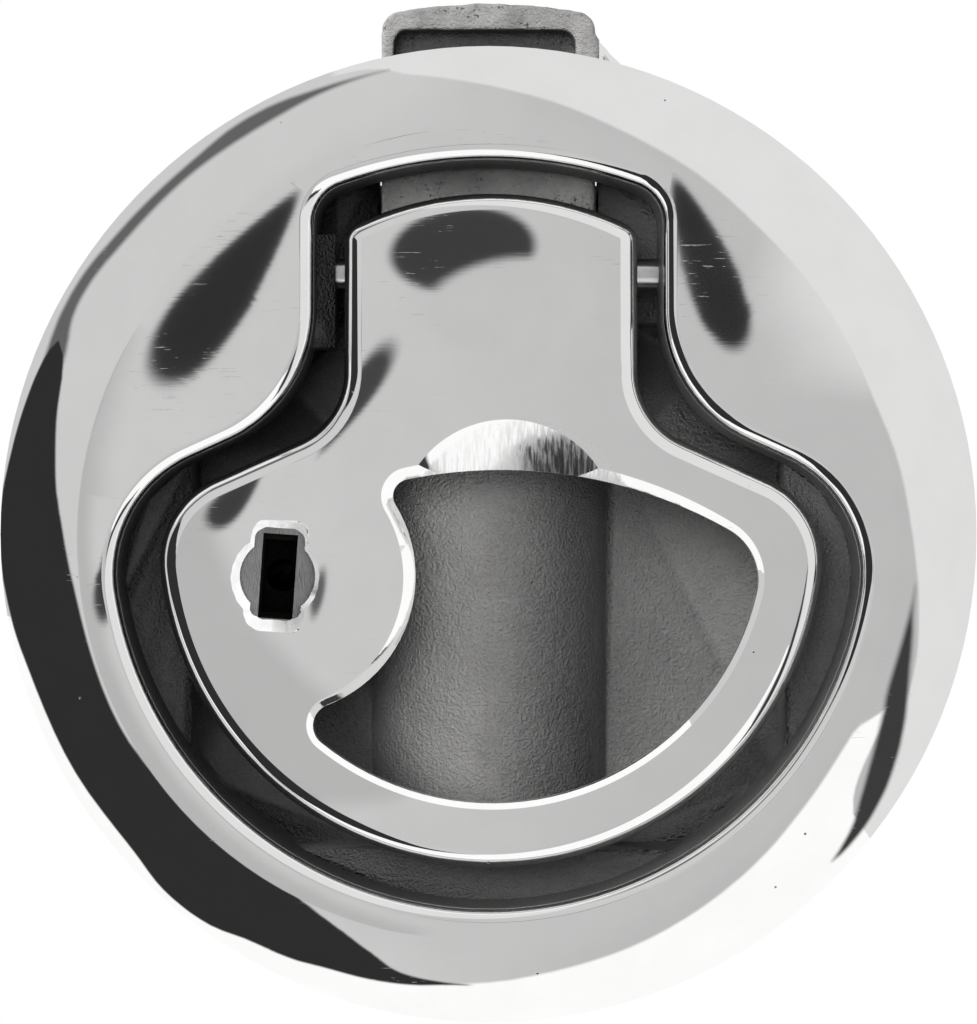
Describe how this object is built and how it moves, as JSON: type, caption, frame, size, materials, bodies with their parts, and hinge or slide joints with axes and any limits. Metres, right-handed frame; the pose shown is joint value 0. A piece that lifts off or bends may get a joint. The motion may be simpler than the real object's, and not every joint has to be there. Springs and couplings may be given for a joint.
{
  "type": "hatch latch",
  "caption": "Round flush slam latch for a hatch lid: a bell-shaped lift handle with a key lock draws a sprung bolt back into the cast housing.",
  "frame": {"origin": "centre of the flange's underside, which lies on the lid", "axes": "+Z out of the lid towards the user, +Y towards the bolt's nose, +X to the right seen from the front"},
  "size_m": [0.0762, 0.0802, 0.0295],
  "materials": {
    "cast_body": "mirror-polished cast stainless steel, rough as cast in the recess",
    "polished_steel": "mirror-polished cast stainless steel",
    "pin_steel": "drawn bright bar",
    "spring_steel": "drawn wire",
    "cast_bolt": "as cast, pitted, with polished flanks",
    "sheet_steel": "satin sheet",
    "fastener_steel": "bright turned",
    "lock_metal": "dull plated",
    "wafer_brass": "stamped",
    "seal_rubber": "matt black"
  },
  "bodies": {
    "housing": {"housing": "cast_body", "flange_seal": "seal_rubber", "pivot_pin": "pin_steel", "handle_spring": "spring_steel", "bolt_spring": "spring_steel", "spring_guide_rod": "pin_steel", "rear_cover": "sheet_steel", "cover_screws": "fastener_steel", "clamp_bracket": "sheet_steel", "clamp_studs": "fastener_steel", "clamp_washers": "fastener_steel", "clamp_nuts": "fastener_steel"},
    "handle": {"pull_handle": "polished_steel", "lock_barrel": "lock_metal"},
    "bolt": {"slam_bolt": "cast_bolt"},
    "lock": {"lock_plug": "lock_metal", "lock_wafers": "wafer_brass", "plug_clip": "spring_steel", "lock_cam": "sheet_steel", "cam_washer": "fastener_steel", "cam_screw": "fastener_steel"}
  },
  "joints": [
    {"name": "handle_lift", "type": "hinge", "parent": "housing", "child": "handle", "pos_m": [0, 0.0205, -0.002], "axis": [-1, 0, 0], "range_deg": [0, 45], "stiffness_Nm_per_rad": 0.075, "springref_deg": -32.31, "deforming": ["handle_spring"]},
    {"name": "bolt_slide", "type": "slide", "parent": "housing", "child": "bolt", "axis": [0, -1, 0], "range_m": [0, 0.006], "deforming": ["bolt_spring"]},
    {"name": "lock_turn", "type": "hinge", "parent": "handle", "child": "lock", "pos_m": [-0.01636, -0.00328, 0], "axis": [0, 0, -1], "range_deg": [0, 90]}
  ],
  "couplings": [
    {"joint": "bolt_slide", "follows": "handle_lift", "m_per_rad": 0.0076394}
  ]
}
